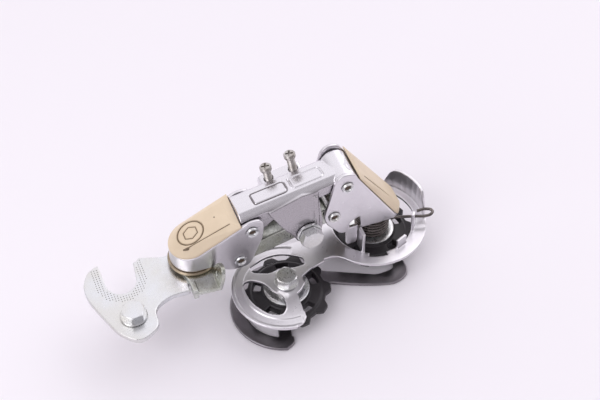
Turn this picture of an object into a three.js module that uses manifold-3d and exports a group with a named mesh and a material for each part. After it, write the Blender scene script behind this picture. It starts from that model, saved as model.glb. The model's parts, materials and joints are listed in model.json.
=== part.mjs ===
// Rear bicycle derailleur, drawn in millimetres.
// It lies on its inner cage plate: +X runs from the hanger to the cage, +Y along the
// parallelogram pins, +Z along the wheel axle, away from the wheel.
// All numbers below are measured from the cage pivot axis, at the height of the table.
import * as THREE from 'three';
import { mergeVertices } from 'three/addons/utils/BufferGeometryUtils.js';
import Module from 'manifold-3d';

const wasm = await Module();
wasm.setup();

// ---- driving dimensions -------------------------------------------------------------
const GAP = 0.3; // running clearance, and the space left between touching pieces
const SHEET = 1.5; // pressed plate of the cage
const WALL = 1.8; // wall of both knuckle shells

const CAGE_PIVOT = [0, 0]; // guide pulley and cage pivot
const TENSION = [-53.4, -20.4]; // tension pulley
const HANGER_PIVOT = [-93.5, 0];
const AXLE_SLOT = [-129.3, -0.3];
const HANGER_BOLT = [-129.2, -22];

const PIN_UPPER_OUTER = [-66.6, 49.6]; // X, Z of the four parallelogram pins
const PIN_UPPER_INNER = [-72.9, 31];
const PIN_LOWER_OUTER = [-18.9, 61.5];
const PIN_LOWER_INNER = [-25.2, 42.9];

const KNUCKLE_HALF = 11; // half of the width over both knuckle walls
const LINK_HALF = KNUCKLE_HALF - WALL - 0.45;
const PIN_R = 2;
const BORE_R = PIN_R + GAP;
const SHAFT_R = 4;

const CAGE_GAP = 13.5; // inside width of the cage
const OUTER_PLATE_Z = SHEET + CAGE_GAP;
const PULLEY_Z = SHEET + CAGE_GAP / 2;
const PULLEY_TEETH = 10;
const PULLEY_TIP_R = 22;
const PULLEY_ROOT_R = 19.2;
const PULLEY_BORE_R = 6.3;
const DUST_CAP_R = 11.2;

const HANGER_Z = 25;
const HANGER_THICK = 3;
const SLOT_R = 7.25;
const FLOOR_UPPER_Z = 32; // underside of the upper knuckle
const FLOOR_LOWER_Z = 30.4; // underside of the lower knuckle's floor
const SKIRT_Z = 28.4; // lower edge of the lower knuckle's walls

// ---- solids ---------------------------------------------------------------------------
const toSolid = (geometry) => {
  const bare = geometry.clone();
  bare.deleteAttribute('normal');
  bare.deleteAttribute('uv');
  const merged = mergeVertices(bare, 1e-3);
  const mesh = new wasm.Mesh({
    numProp: 3,
    vertProperties: new Float32Array(merged.attributes.position.array),
    triVerts: new Uint32Array(merged.index.array),
  });
  return new wasm.Manifold(mesh);
};

const toGeometry = (solid) => {
  const { vertProperties, triVerts } = solid.getMesh();
  const geometry = new THREE.BufferGeometry();
  geometry.setAttribute('position', new THREE.BufferAttribute(new Float32Array(vertProperties), 3));
  geometry.setIndex(new THREE.BufferAttribute(new Uint32Array(triVerts), 1));
  const loose = geometry.toNonIndexed();
  loose.computeVertexNormals();
  return loose;
};

const join = (...solids) => solids.reduce((sum, solid) => sum.add(solid));
const cut = (solid, ...tools) => tools.reduce((rest, tool) => rest.subtract(tool), solid);
const vec = (x, y, z) => new THREE.Vector3(x, y, z);

// A round bar between two points, or a cone where the two radii differ.
const bar = (from, to, radius, sides = 24, endRadius = radius) => {
  const start = vec(...from);
  const along = vec(...to).sub(start);
  const geometry = new THREE.CylinderGeometry(endRadius, radius, along.length(), sides);
  geometry.translate(0, along.length() / 2, 0);
  const turn = new THREE.Quaternion().setFromUnitVectors(vec(0, 1, 0), along.normalize());
  geometry.applyQuaternion(turn).translate(start.x, start.y, start.z);
  return toSolid(geometry);
};

const barZ = ([x, y], z0, z1, radius, sides = 24) => bar([x, y, z0], [x, y, z1], radius, sides);
const barY = ([x, z], y0, y1, radius, sides = 16) => bar([x, y0, z], [x, y1, z], radius, sides);
const washerZ = (at, z0, z1, outer, inner, sides = 24) =>
  cut(barZ(at, z0, z1, outer, sides), barZ(at, z0 - 1, z1 + 1, inner, sides));

const box = (x0, x1, y0, y1, z0, z1) => {
  const geometry = new THREE.BoxGeometry(x1 - x0, y1 - y0, z1 - z0);
  geometry.translate((x0 + x1) / 2, (y0 + y1) / 2, (z0 + z1) / 2);
  return toSolid(geometry);
};

// A closed outline from [x, y] or [x, y, corner radius] points.
const outline = (points) => {
  const shape = new THREE.Shape();
  const count = points.length;
  points.forEach(([x, y, radius = 0], i) => {
    const corner = new THREE.Vector2(x, y);
    const before = new THREE.Vector2(...points[(i + count - 1) % count].slice(0, 2)).sub(corner);
    const after = new THREE.Vector2(...points[(i + 1) % count].slice(0, 2)).sub(corner);
    const reach = Math.min(radius, before.length() * 0.49, after.length() * 0.49);
    const entry = before.setLength(reach).add(corner);
    const exit = after.setLength(reach).add(corner);
    if (i === 0) shape.moveTo(entry.x, entry.y);
    else shape.lineTo(entry.x, entry.y);
    if (reach > 0) shape.quadraticCurveTo(x, y, exit.x, exit.y);
  });
  shape.closePath();
  return shape;
};

const extrude = (shape, depth, steps = 4) =>
  new THREE.ExtrudeGeometry(shape, { depth, bevelEnabled: false, curveSegments: steps });
const slabZ = (points, z0, z1, steps) => toSolid(extrude(outline(points), z1 - z0, steps).translate(0, 0, z0));
// The same for an outline given in X and Z, pushed along Y.
const slabY = (points, y0, y1, steps) =>
  toSolid(extrude(outline(points), y1 - y0, steps).rotateX(Math.PI / 2).translate(0, y1, 0));

const hexZ = ([x, y], z0, z1, acrossFlats) => {
  const radius = acrossFlats / Math.sqrt(3);
  return bar([x, y, z0], [x, y, z1], radius, 6);
};

const polar = ([x, y], radius, degrees) => {
  const angle = THREE.MathUtils.degToRad(degrees);
  return [x + radius * Math.cos(angle), y + radius * Math.sin(angle)];
};

// A round wire along a curve.
const wire = (curve, radius, steps, sides = 8) => {
  const section = new THREE.Shape();
  for (let i = 0; i < sides; i += 1) {
    const [x, y] = polar([0, 0], radius, (360 * i) / sides);
    if (i === 0) section.moveTo(x, y);
    else section.lineTo(x, y);
  }
  section.closePath();
  return new THREE.ExtrudeGeometry(section, { steps, extrudePath: curve, bevelEnabled: false });
};

// ---- the tree of named pieces ----------------------------------------------------------
const derailleur = new THREE.Group();
derailleur.name = 'rear_derailleur';

const FINISH = {
  zinc: { color: 0xc3c7c8, roughness: 0.35, metalness: 0.9 },
  polished: { color: 0xc9c8cc, roughness: 0.28, metalness: 0.9 },
  stamped: { color: 0xc4c3c8, roughness: 0.35, metalness: 0.9 },
  darkPlate: { color: 0x6b676a, roughness: 0.45, metalness: 0.8 },
  greenZinc: { color: 0x8f9a92, roughness: 0.45, metalness: 0.8 },
  tan: { color: 0xcdb58c, roughness: 0.5, metalness: 0.1 },
  bronze: { color: 0xa98e5e, roughness: 0.5, metalness: 0.6 },
  blackPlastic: { color: 0x2b282b, roughness: 0.55, metalness: 0 },
  darkSteel: { color: 0x5c5853, roughness: 0.4, metalness: 0.9 },
};

const add = (name, solid, finish) => {
  const geometry = solid.isBufferGeometry ? solid : toGeometry(solid);
  const mesh = new THREE.Mesh(geometry, new THREE.MeshStandardMaterial(FINISH[finish]));
  mesh.name = name;
  derailleur.add(mesh);
};

// ---- hanger ------------------------------------------------------------------------------
const hangerTop = HANGER_Z + HANGER_THICK;
const hangerOutline = [
  [-137.2, 13.2, 3],
  [-143, 10.5, 8],
  [-147.2, 3, 7],
  [-146.8, -6, 7],
  [-138.6, -29, 7],
  [-130, -37.6, 10],
  [-118.6, -31, 9],
  [-119.4, -21.5, 9],
  [-110, -16.6, 8],
  [-100.1, -17.4, 1],
  [-100.1, -13, 0],
  [-84, -13, 9],
  [-80.5, 0, 8],
  [-84, 13, 9],
  [-97, 12.4, 5],
  [-104.5, 6.1, 4],
  [-117.8, 10.6, 2],
  [-119.6, 8.5, 1],
];
const slotMouth = [
  [AXLE_SLOT[0] - SLOT_R, AXLE_SLOT[1]],
  [AXLE_SLOT[0] + SLOT_R, AXLE_SLOT[1]],
  [AXLE_SLOT[0] + SLOT_R + 2.6, 20],
  [AXLE_SLOT[0] - SLOT_R - 0.9, 20],
];
add('hanger_plate', cut(
  slabZ(hangerOutline, HANGER_Z, hangerTop),
  barZ(AXLE_SLOT, HANGER_Z - 1, hangerTop + 1, SLOT_R, 32),
  slabZ(slotMouth, HANGER_Z - 1, hangerTop + 1),
  barZ(HANGER_BOLT, HANGER_Z - 1, hangerTop + 1, 3 + GAP, 24),
  barZ(HANGER_PIVOT, HANGER_Z - 1, hangerTop + 1, SHAFT_R + GAP),
), 'zinc');

// Clamp bolt that presses the axle nut's claw, with its nut below the plate.
add('hanger_clamp_bolt', join(
  barZ(HANGER_BOLT, HANGER_Z - 4.6, hangerTop + 1, 3, 24),
  barZ(HANGER_BOLT, hangerTop + GAP, hangerTop + 1.3, 6.4, 32),
  hexZ(HANGER_BOLT, hangerTop + 1.2, hangerTop + 5.2, 10),
), 'zinc');
add('hanger_clamp_nut', washerZ(HANGER_BOLT, HANGER_Z - 4.4, HANGER_Z - GAP, 6.6, 3 + GAP), 'bronze');

// Rivet-headed pivot bolt: hanger, bushing and upper knuckle turn about it.
const pivotNutZ = FLOOR_UPPER_Z + WALL + GAP;
add('hanger_pivot_bolt', join(
  barZ(HANGER_PIVOT, HANGER_Z - 2.3, HANGER_Z - GAP, 7),
  barZ(HANGER_PIVOT, HANGER_Z - 1, pivotNutZ + 4.3, SHAFT_R),
), 'zinc');
add('hanger_pivot_nut', cut(
  hexZ(HANGER_PIVOT, pivotNutZ, pivotNutZ + 3.8, 11),
  barZ(HANGER_PIVOT, pivotNutZ - 1, pivotNutZ + 6, SHAFT_R + GAP),
), 'zinc');

// ---- cable stop bracket and bushing, between the hanger and the upper knuckle ---------------
const bracketZ = hangerTop + GAP;
const bracketTop = bracketZ + 1.5;
add('pivot_bushing', washerZ(HANGER_PIVOT, bracketTop + GAP, FLOOR_UPPER_Z - GAP, 12, SHAFT_R + GAP, 32), 'bronze');

const bracketFloor = [
  [-99.6, -21.6, 1],
  [-85.9, -22.6, 1],
  [-84.5, -4, 4],
  [-88, 9, 8],
  [-99, 9, 8],
  [-102, -4, 5],
  [-99.6, -12],
];
const cableWall = [
  [-22.4, bracketTop - 0.5],
  [-23.2, 36, 4],
  [-21, 41.5, 4],
  [-14.5, 39.6, 3],
  [-12, 34, 2],
  [-12, bracketTop - 0.5],
];
const WALL_LEAN = 0.22; // the wall leans away from the hanger pivot
const wallAlongX = (points, x0, x1) =>
  toSolid(extrude(outline(points), x1 - x0).rotateY(Math.PI / 2).rotateX(Math.PI / 2).translate(x0, 0, 0));
const leaning = (vert) => {
  vert[0] += WALL_LEAN * Math.max(0, vert[2] - bracketTop);
};
const cableStopHole = [-17.2, 34];
add('cable_stop_bracket', cut(
  join(
    slabZ(bracketFloor, bracketZ, bracketTop),
    wallAlongX(cableWall, -87.7, -85.9).warp(leaning),
    box(-99.6, -97.2, -21, -14.4, HANGER_Z + 0.4, bracketTop + 1.2),
  ),
  barZ(HANGER_PIVOT, bracketZ - 1, bracketTop + 1, SHAFT_R + GAP),
  bar([-90, ...cableStopHole], [-82, ...cableStopHole], 1.3, 16),
), 'greenZinc');

// ---- upper knuckle: a deep-drawn shell, D-shaped round the hanger pivot ----------------------
// Its plan is square at openX and has rounded corners at endX.
const shellPlan = (openX, endX, half, round) => {
  const leftwards = endX < openX;
  const centreX = endX + (leftwards ? round : -round);
  const endAngle = leftwards ? Math.PI : 0;
  const shape = new THREE.Shape();
  shape.moveTo(openX, -half);
  shape.lineTo(centreX, -half);
  shape.absarc(centreX, round - half, round, -Math.PI / 2, -endAngle, leftwards);
  shape.absarc(centreX, half - round, round, endAngle, Math.PI / 2, leftwards);
  shape.lineTo(openX, half);
  shape.closePath();
  return shape;
};
const planSlab = (shape, z0, z1) => toSolid(extrude(shape, z1 - z0, 9).translate(0, 0, z0));
const UPPER_END = HANGER_PIVOT[0] - KNUCKLE_HALF;
const upperSide = [
  [-106, FLOOR_UPPER_Z],
  [-83.8, FLOOR_UPPER_Z, 1],
  [-81.6, 27.6, 3],
  [-76.5, 25.2, 4],
  [-68, 25.2, 6],
  [-65, 34, 6],
  [-61, 44, 4],
  [-60.6, 55.9, 7],
  [-68, 55.9, 3],
  [-72.2, 53.6, 1],
  [-93.5, 42.6, 3],
  [-106, 39.6],
];
const upperPins = [PIN_UPPER_OUTER, PIN_UPPER_INNER];
const lowerPins = [PIN_LOWER_OUTER, PIN_LOWER_INNER];
const pinHoles = (pins) => pins.map((pin) => barY(pin, -20, 20, BORE_R));
const CAP_HEIGHT = 80;
const innerHalf = KNUCKLE_HALF - WALL;
const upperHollow = shellPlan(-50, UPPER_END + WALL, innerHalf, innerHalf);
add('upper_knuckle', cut(
  planSlab(shellPlan(-55, UPPER_END, KNUCKLE_HALF, KNUCKLE_HALF), 20, CAP_HEIGHT)
    .intersect(slabY(upperSide, -20, 20)),
  planSlab(upperHollow, FLOOR_UPPER_Z + WALL, CAP_HEIGHT),
  box(-80, -50, -innerHalf, innerHalf, 20, CAP_HEIGHT),
  box(-90, -50, -innerHalf, innerHalf, 20, FLOOR_UPPER_Z),
  barZ(HANGER_PIVOT, 20, CAP_HEIGHT, SHAFT_R + GAP),
  ...pinHoles(upperPins),
), 'stamped');

// Moulded caps close the tops of both knuckles: flat tops with a bevel all round.
// A ring is a plan outline lifted to the height that a function of x gives.
const CAP_BEVEL = 4;
const ring = (plan, height) => plan.getPoints(6).map(({ x, y }) => [x, y, height(x)]);
const capBody = (openX, endX, round, openBevel, seam, rim, top) => {
  const inward = Math.sign(endX - openX);
  const outer = shellPlan(openX, endX, KNUCKLE_HALF, round);
  const flat = shellPlan(
    openX + inward * openBevel,
    endX - inward * CAP_BEVEL,
    KNUCKLE_HALF - CAP_BEVEL,
    round - CAP_BEVEL,
  );
  return wasm.Manifold.hull([...ring(outer, seam), ...ring(outer, rim), ...ring(flat, top)]);
};
const upperSeam = (x) => (x > -93.5 ? 53.6 + (x + 72.2) * 0.516 : 42.6 + (x + 93.5) * 0.24);
const upperCapHollow = [
  [-106, 36],
  [-75.5, 36],
  [-75.5, 53.4],
  [-106, 41.2],
];
add('upper_cap', cut(
  capBody(
    -71.8,
    UPPER_END,
    KNUCKLE_HALF,
    3.8,
    (x) => upperSeam(x) + GAP,
    (x) => upperSeam(x) + 1.3,
    (x) => 55.1 + (x + 76) * 0.4,
  ),
  planSlab(shellPlan(-60, UPPER_END + 4, innerHalf - 2, innerHalf - 2), 20, CAP_HEIGHT)
    .intersect(slabY(upperCapHollow, -20, 20)),
), 'tan');

// ---- parallelogram -------------------------------------------------------------------------
// Hollow rivets through the ears, with cupped heads outside the walls.
const rivet = (pin) => cut(
  join(
    barY(pin, -KNUCKLE_HALF - GAP - 0.9, KNUCKLE_HALF + GAP + 0.9, PIN_R),
    barY(pin, -KNUCKLE_HALF - GAP - 0.9, -KNUCKLE_HALF - GAP, 3.1),
    barY(pin, KNUCKLE_HALF + GAP, KNUCKLE_HALF + GAP + 0.9, 3.1),
  ),
  barY(pin, -20, -KNUCKLE_HALF - 0.1, 1.3, 16),
  barY(pin, KNUCKLE_HALF + 0.1, 20, 1.3, 16),
);
add('upper_outer_pin', rivet(PIN_UPPER_OUTER), 'zinc');
add('upper_inner_pin', rivet(PIN_UPPER_INNER), 'zinc');
add('lower_outer_pin', rivet(PIN_LOWER_OUTER), 'zinc');
add('lower_inner_pin', rivet(PIN_LOWER_INNER), 'zinc');

// Outer link: a cast channel, open towards the wheel, with a web down to the cable clamp.
const CLAMP = [-39, 39.7];
const linkSide = [
  [-71.4, 45.5, 5],
  [-62, 44.8, 4],
  [-53, 52.4, 3],
  [-26, 58.2, 3],
  [-15.6, 56.5, 5],
  [-12.6, 61, 3],
  [-13.6, 66, 3],
  [-19, 70, 3],
  [-71.4, 70],
];
const linkHollow = [
  [-75, 40],
  [-10, 50],
  [-10, 63.4],
  [-75, 52.4],
];
// Crowned top of the link across its width: Y, and height above its highest line.
const LINK_TOP_START = [-71.4, 58.2];
const LINK_TOP_END = [-12, 68.8];
const linkCrown = [
  [-LINK_HALF, -20],
  [-LINK_HALF, -2.6],
  [-5.4, -0.2],
  [-2.4, 0],
  [LINK_HALF - 1.4, -2.4],
  [LINK_HALF, -3.4],
  [LINK_HALF, -20],
];
const linkBlock = wasm.Manifold.hull([LINK_TOP_START, LINK_TOP_END].flatMap(
  ([x, z]) => linkCrown.map(([y, drop]) => [x, y, z + drop]),
));
const webSide = [
  [-58, 57.4, 1],
  [-52.6, 48, 4],
  [-46, 38, 2],
  [-44, 33.6, 4],
  [-34, 33.6, 4],
  [-31.6, 41, 3],
  [-33, 64, 1],
];
const WEB_Y = -12.6;
// The web leans forward from the link's front edge to the clamp's seat.
const webDepth = [
  [-9, 62],
  [WEB_Y, 46, 3],
  [WEB_Y, 30],
  [WEB_Y + 3.4, 30],
  [WEB_Y + 3.4, 51],
  [-LINK_HALF + 2.2, 54],
  [-LINK_HALF + 2.2, 62],
];
// The limit screws stand upright in a lug behind the link.
const screwAxis = vec(-0.16, 0.05, 0.985).normalize();
const screwHeads = [vec(-38.9, 12.4, 66.6), vec(-51, 12.4, 62.4)];
const alongScrew = (head, distance) => head.clone().addScaledVector(screwAxis, distance).toArray();
const outerShell = cut(
  linkBlock.intersect(slabY(linkSide, -LINK_HALF, LINK_HALF)),
  slabY(linkHollow, -LINK_HALF + 2.4, LINK_HALF - 2.4),
);
const web = slabY(webSide, -20, 0).intersect(wallAlongX(webDepth, -60, -28));
const lugSide = [
  [-54.6, 49.4, 2],
  [-33.4, 53.2, 2],
  [-33.4, 59.6, 2],
  [-54.6, 55.8, 2],
];
const screwLug = slabY(lugSide, LINK_HALF - 2.4, 15.4);
add('outer_link', cut(
  join(outerShell, web, screwLug),
  ...[PIN_UPPER_OUTER, PIN_LOWER_OUTER].map((pin) => barY(pin, -20, 20, BORE_R)),
  barY(CLAMP, -20, 0, 2.5 + GAP, 20),
  ...screwHeads.map((head) => bar(alongScrew(head, -28), alongScrew(head, 0), 2 + GAP, 16)),
), 'polished');

add('cable_clamp_washer', cut(
  barY(CLAMP, WEB_Y - GAP - 1.6, WEB_Y - GAP, 6.2, 32),
  barY(CLAMP, -20, 0, 2.5 + GAP, 20),
), 'zinc');
const clampFace = WEB_Y - 2 * GAP - 1.6;
add('cable_clamp_bolt', join(
  bar([CLAMP[0], clampFace - 4, CLAMP[1]], [CLAMP[0], clampFace, CLAMP[1]], 10 / Math.sqrt(3), 6),
  barY(CLAMP, clampFace - 1, WEB_Y + 3.2, 2.5, 20),
), 'zinc');

const limitScrew = (head) => join(
  bar(alongScrew(head, -18), alongScrew(head, 1), 2, 20),
  bar(alongScrew(head, 0), alongScrew(head, 2.6), 2.9, 24),
);
add('limit_screw_high', limitScrew(screwHeads[0]), 'darkSteel');
add('limit_screw_low', limitScrew(screwHeads[1]), 'darkSteel');

// Inner link: a folded channel, open towards the outer link.
const innerRise = Math.atan2(
  PIN_LOWER_INNER[1] - PIN_UPPER_INNER[1],
  PIN_LOWER_INNER[0] - PIN_UPPER_INNER[0],
);
// s runs along the inner link from its upper pin, n square to it.
const onInnerLink = (s, n) => [
  PIN_UPPER_INNER[0] + s * Math.cos(innerRise) - n * Math.sin(innerRise),
  PIN_UPPER_INNER[1] + s * Math.sin(innerRise) + n * Math.cos(innerRise),
];
const linkLength = Math.hypot(PIN_LOWER_INNER[0] - PIN_UPPER_INNER[0], PIN_LOWER_INNER[1] - PIN_UPPER_INNER[1]);
const innerSide = (start, end, low, high, round) => [
  [...onInnerLink(start, low), round],
  [...onInnerLink(end, low), round],
  [...onInnerLink(end, high), round],
  [...onInnerLink(start, high), round],
];
add('inner_link', cut(
  slabY(innerSide(-4.6, linkLength + 4.6, -5, 4.4, 3), -LINK_HALF, LINK_HALF),
  slabY(innerSide(-9, linkLength + 9, -3.6, 9, 0), -LINK_HALF + 1.4, LINK_HALF - 1.4),
  ...[PIN_UPPER_INNER, PIN_LOWER_INNER].map((pin) => barY(pin, -20, 20, BORE_R)),
), 'greenZinc');

// Torsion spring round the inner link's upper pin: it pushes the linkage outwards.
class PinCoil extends THREE.Curve {
  getPoint(t, target = vec(0, 0, 0)) {
    const turns = 6;
    const angle = t * turns * 2 * Math.PI;
    const radius = 2.95;
    return target.set(
      PIN_UPPER_INNER[0] + radius * Math.cos(angle),
      -5.5 + 11 * t,
      PIN_UPPER_INNER[1] + radius * Math.sin(angle),
    );
  }
}
add('return_spring', wire(new PinCoil(), 0.55, 72, 5), 'darkSteel');

// ---- lower knuckle: the same kind of shell, D-shaped round the cage pivot -----------------------
const LOWER_END = 12;
const LOWER_ROUND = 7;
const lowerSeam = (x) => 64.2 - 1.624 * (x + 12.8);
const lowerSide = [
  [-21.6, SKIRT_Z, 2],
  [9.2, SKIRT_Z],
  [-13, lowerSeam(-13), 2],
  [-15.6, 69.4, 3],
  [-21.6, 70, 4],
  [-24.8, 67, 4],
  [-27.7, 54, 3],
  [-30.4, 44, 3],
  [-29.2, 38.4, 3],
];
const notch = [
  [-17.2, SKIRT_Z - 1],
  [-10.4, SKIRT_Z - 1],
  [-11.6, 37.4, 1],
  [-17, 35.4, 3],
];
const stopTab = [
  [-18.4, 18.4, 2],
  [-12.6, 18.4, 2],
  [-12.6, 31],
  [-18.4, 31],
];
const lowerHollow = shellPlan(-45, LOWER_END - WALL, innerHalf, LOWER_ROUND - WALL);
add('lower_knuckle', cut(
  join(
    cut(
      planSlab(shellPlan(-40, LOWER_END, KNUCKLE_HALF, LOWER_ROUND), 20, CAP_HEIGHT)
        .intersect(slabY(lowerSide, -20, 20)),
      planSlab(lowerHollow, FLOOR_LOWER_Z + WALL, CAP_HEIGHT),
      planSlab(lowerHollow, 20, FLOOR_LOWER_Z),
      box(-45, -9.8, -innerHalf, innerHalf, 20, CAP_HEIGHT),
      slabY(notch, -20, 0),
    ),
    slabY(stopTab, -KNUCKLE_HALF, -innerHalf),
  ),
  barZ(CAGE_PIVOT, 20, CAP_HEIGHT, SHAFT_R + 1.8),
  ...pinHoles(lowerPins),
), 'stamped');

add('lower_cap', capBody(
  -12.6,
  LOWER_END,
  LOWER_ROUND,
  2,
  (x) => Math.max(lowerSeam(x) + 2 * GAP, SKIRT_Z + GAP),
  (x) => Math.max(lowerSeam(x) + 1.9, SKIRT_Z + 4.2),
  (x) => 64.1 - 1.488 * (x + 10.6),
), 'tan');

add('cage_pivot_bushing', cut(
  join(
    barZ(CAGE_PIVOT, 22, FLOOR_LOWER_Z + WALL + 0.8, SHAFT_R + 1.5),
    barZ(CAGE_PIVOT, FLOOR_LOWER_Z + WALL + GAP, FLOOR_LOWER_Z + WALL + 1, SHAFT_R + 2.5),
  ),
  barZ(CAGE_PIVOT, 10, 50, SHAFT_R + GAP),
), 'bronze');

// ---- cage ----------------------------------------------------------------------------------
const shaftTop = FLOOR_LOWER_Z + WALL + 2.8;
add('cage_pivot_shaft', join(
  barZ(CAGE_PIVOT, 0.1, shaftTop, SHAFT_R),
  barZ(CAGE_PIVOT, shaftTop - 0.1, shaftTop + 0.6, SHAFT_R - 0.8),
), 'zinc');
add('cage_pivot_circlip', washerZ(CAGE_PIVOT, shaftTop - 1.4, shaftTop - 0.5, 5.5, SHAFT_R + GAP), 'darkSteel');

const RING_CENTRE = [-55.5, -22]; // centre of the round end of both plates
const RIM_R = 25.4;
const RIM_INNER_R = 18;
const PIVOT_RING_R = 27.6;
const PIVOT_RING_INNER_R = 20.2;
const outerTop = OUTER_PLATE_Z + SHEET;
const SPACER = polar(CAGE_PIVOT, 24.4, 151); // rivet between the plates

// A pie slice of a disc, used to cut rings open.
const sector = (centre, radius, fromDeg, toDeg, z0, z1) => {
  const rim = [];
  const count = Math.ceil((toDeg - fromDeg) / 10);
  for (let i = 0; i <= count; i += 1) rim.push(polar(centre, radius, fromDeg + ((toDeg - fromDeg) * i) / count));
  return slabZ([centre, ...rim], z0, z1);
};
// An annular window between two angles, optionally with its own hub circle.
const ringWindow = (centre, outer, hub, hubR, fromDeg, toDeg, z0, z1) => cut(
  barZ(centre, z0, z1, outer, 40).intersect(sector(hub, outer * 2, fromDeg, toDeg, z0, z1)),
  barZ(hub, z0 - 1, z1 + 1, hubR, 32),
);
const band = (from, degrees, start, length, low, high, z0, z1) => {
  const corner = (s, n) => {
    const [x, y] = polar(from, s, degrees);
    return polar([x, y], n, degrees + 90);
  };
  return slabZ([corner(start, low), corner(length, low), corner(length, high), corner(start, high)], z0, z1);
};

const plateZ = [OUTER_PLATE_Z, outerTop];
const ARM_DEG = 27.5;
const armOutline = [
  [-46.4, -20.5, 2],
  [-33.4, -13.8, 5],
  [-25.4, -13.4, 7],
  [-20, -19, 4],
  [-12, -8],
  [-14, 14],
  [-24, 12, 6],
  [-36, 1, 6],
  [-54, 2, 2],
  [-52, -8],
];
const spoke = (degrees, low, high) => band(TENSION, degrees, 0, RIM_R + 3, low, high, ...plateZ);
// The ring's open end beside the lower spoke is rounded off.
const TIP = [-57.6, -40.4];
const TIP_R = 6.2;
const ringTip = cut(box(TIP[0], -45, -52, TIP[1], 0, 30), barZ(TIP, -1, 31, TIP_R, 32));
const outerRing = cut(
  join(
    cut(
      barZ(RING_CENTRE, ...plateZ, RIM_R, 44),
      barZ(RING_CENTRE, 0, 30, RIM_INNER_R, 40),
      sector(TENSION, 60, -84, 14, 0, 30),
      ringTip,
    ),
    barZ(TENSION, ...plateZ, 8.4, 40),
    spoke(149, -3.6, 3.4).intersect(barZ(RING_CENTRE, ...plateZ, RIM_R - 1, 32)),
    spoke(-90, -4.8, 1.8).intersect(barZ(RING_CENTRE, ...plateZ, RIM_R - 4, 32)),
    spoke(ARM_DEG, -2.6, 3.8).intersect(barZ(RING_CENTRE, ...plateZ, RIM_R - 1, 32)),
    slabZ(armOutline, ...plateZ),
    barZ(CAGE_PIVOT, ...plateZ, PIVOT_RING_R, 44),
  ),
  ringWindow(RING_CENTRE, RIM_INNER_R, TENSION, 8.4, 36.5, 139, 0, 30),
  barZ(CAGE_PIVOT, 0, 30, PIVOT_RING_INNER_R, 40),
  sector(CAGE_PIVOT, 22.2, -26, 70, 0, 30),
  sector(CAGE_PIVOT, 60, 82, 128, 0, 30),
  sector(CAGE_PIVOT, 22.4, -116, -92, 0, 30),
  barZ(TENSION, 0, 30, 2.5 + GAP, 24),
  barZ(SPACER, 0, 30, 1.4 + GAP, 16),
);
// Upright tabs bent from the ring's edges: centre angle, radius, width and height.
const tab = (degrees, radius, width, height) => {
  const inner = polar(CAGE_PIVOT, radius, degrees);
  return band(inner, degrees, 0, 1.5, -width / 2, width / 2, OUTER_PLATE_Z + 0.2, outerTop + height);
};
// A hood bent up from the ring's edge keeps the chain clear of the knuckle.
const HOOD_TOP = 29.8;
const hoodFace = [
  [-16, OUTER_PLATE_Z + 0.2],
  [16, OUTER_PLATE_Z + 0.2],
  [11.5, HOOD_TOP, 5],
  [-9.5, HOOD_TOP, 4],
];
const HOOD_DEG = 19;
const hood = cut(
  barZ(CAGE_PIVOT, OUTER_PLATE_Z + 0.2, 40, PIVOT_RING_R, 44),
  barZ(CAGE_PIVOT, 0, 41, PIVOT_RING_R - 1.5, 44),
).intersect(wallAlongX(hoodFace, 10, 40).rotate([0, 0, HOOD_DEG]));
const STOP_LUG = box(-12.1, -10.6, -16.6, -9.6, OUTER_PLATE_Z + 0.2, 29.2);
add('outer_cage_plate', join(
  outerRing,
  hood,
  STOP_LUG.subtract(barZ(CAGE_PIVOT, 0, 40, 12, 32)),
  tab(-68, PIVOT_RING_INNER_R - 0.4, 6, 5.5),
  tab(-33, PIVOT_RING_INNER_R - 0.4, 3, 11.4),
), 'stamped');

const innerRingZ = [0, SHEET];
// The arm's lower edge runs on past the pivot to a round end.
const innerArm = [
  [-37, -16.4, 3],
  [-32.8, -15.6, 4],
  [-22.8, -21.2, 6],
  [-8.8, -27, 6],
  [1.6, -29.8, 7],
  [9.2, -26.8, 5],
  [11.2, -20, 5],
  [8, -10],
  [0, 15.6],
  [-21.6, 16.4, 5],
  [-40, 4, 6],
  [-50, 0],
  [-50, -10, 4],
];
const INNER_BOSS_R = 15.8;
const armWindow = [
  [-31, -9, 3],
  [-24.3, -12, 4],
  [-13.1, -17.6, 6],
  [-5.6, -21.2, 2],
  [5, -20.8, 4],
  [4.6, -12],
  [-10.6, -5],
  [-11.6, 5],
  [-20, 7, 4],
  [-34, 0, 4],
];
add('inner_cage_plate', cut(
  join(
    cut(
      barZ(RING_CENTRE, ...innerRingZ, RIM_R + 1.2, 44),
      barZ(RING_CENTRE, -5, 5, RIM_INNER_R + 1.6, 40),
      sector(TENSION, 60, -101, 4, -5, 5),
    ),
    barZ(TENSION, ...innerRingZ, 8.4, 40),
    band(TENSION, 149, 0, RIM_R + 1, -3.5, 3.5, ...innerRingZ).intersect(
      barZ(RING_CENTRE, ...innerRingZ, RIM_R, 32),
    ),
    band(TENSION, -104, 0, RIM_R + 3, -6.2, 0.2, ...innerRingZ).intersect(
      barZ(RING_CENTRE, ...innerRingZ, RIM_R, 32),
    ),
    band(TENSION, ARM_DEG, 0, RIM_R + 1, -3.5, 3.5, ...innerRingZ),
    slabZ(innerArm, ...innerRingZ),
    barZ(CAGE_PIVOT, ...innerRingZ, INNER_BOSS_R, 44),
  ),
  cut(slabZ(armWindow, -5, 5), barZ(CAGE_PIVOT, -6, 6, INNER_BOSS_R, 44)),
  barZ(TENSION, -5, 5, 2.5 + GAP, 24),
  barZ(SPACER, -5, 5, 1.4 + GAP, 16),
  barZ(CAGE_PIVOT, -5, 5, SHAFT_R + GAP),
), 'darkPlate');

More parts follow.
